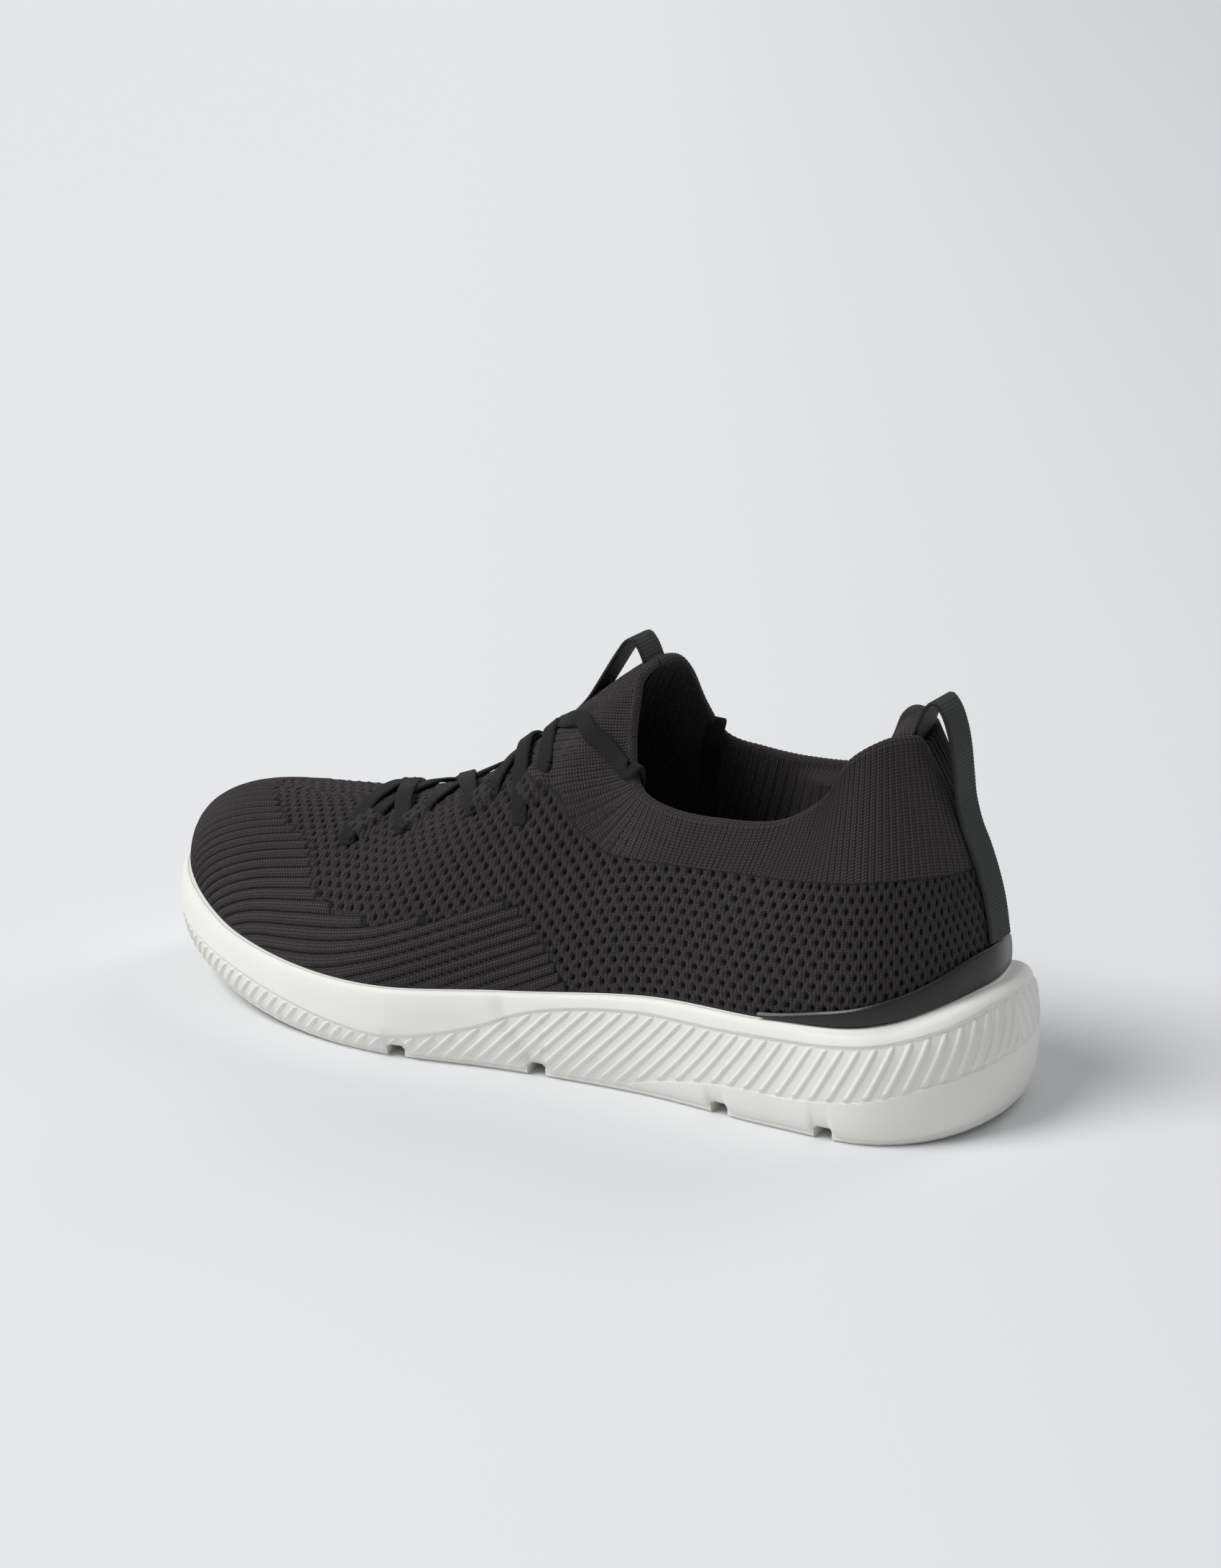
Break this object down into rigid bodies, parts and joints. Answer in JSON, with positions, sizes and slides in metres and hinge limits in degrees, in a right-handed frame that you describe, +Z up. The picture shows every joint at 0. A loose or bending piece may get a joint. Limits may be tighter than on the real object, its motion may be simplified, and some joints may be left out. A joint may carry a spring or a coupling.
{
  "type": "running shoe",
  "caption": "Low knitted slip-in running shoe for the left foot, with a lace through knit tunnels, heel and tongue pull tabs and a thick ribbed foam sole that bends at the ball.",
  "frame": {"origin": "centre of the footprint's bounding box, on the ground the shoe stands on", "axes": "+X towards the toe, +Y towards the outer (lateral) side of this left shoe, +Z up"},
  "size_m": [0.2978, 0.1088, 0.1276],
  "materials": {
    "foam": "warm off-white moulded foam, matt with a faint skin",
    "tread": "off-white moulded rubber, satin",
    "knit": "charcoal black engineered knit, matt, with a brownish tinge",
    "foxing": "black synthetic leather, semi-gloss, fine grain",
    "board": "grey pressed fibre board",
    "padding": "dark grey open-cell foam",
    "lining": "black knitted sock-liner cover, matt",
    "lace": "black flat woven lace, matt",
    "webbing": "black ribbed webbing, slight sheen",
    "aglet": "black plastic, glossy"
  },
  "bodies": {
    "shoe_rear": {"midsole_rear": "foam", "tread_heel_back": "tread", "tread_heel_front": "tread", "tread_midfoot": "tread", "tread_ball": "tread", "upper_rear": "knit", "upper_bend": "knit", "heel_foxing": "foxing", "heel_counter": "board", "collar_padding": "padding", "lasting_board": "board", "insole_foam": "padding", "insole_cover": "lining", "lace": "lace", "aglet_outer": "aglet", "aglet_inner": "aglet", "heel_tab_strap": "webbing", "tongue_tab": "webbing"},
    "forefoot": {"midsole_toe": "foam", "tread_toe": "tread", "upper_toe": "knit", "toe_puff": "board"},
    "heel_loop": {"heel_tab_loop": "webbing"}
  },
  "joints": [
    {"name": "forefoot_flex", "type": "hinge", "parent": "shoe_rear", "child": "forefoot", "pos_m": [0.04312, -0.00127, 0.0228], "axis": [0.1564, -0.9877, 0], "range_deg": [0, 30], "stiffness_Nm_per_rad": 6, "deforming": ["upper_bend", "lasting_board", "insole_foam", "insole_cover", "lace"]},
    {"name": "heel_loop_bend", "type": "hinge", "parent": "shoe_rear", "child": "heel_loop", "pos_m": [-0.12848, -0.00127, 0.1062], "axis": [0, 1, 0], "range_deg": [-20, 15], "stiffness_Nm_per_rad": 0.02, "deforming": ["heel_tab_loop"]}
  ]
}
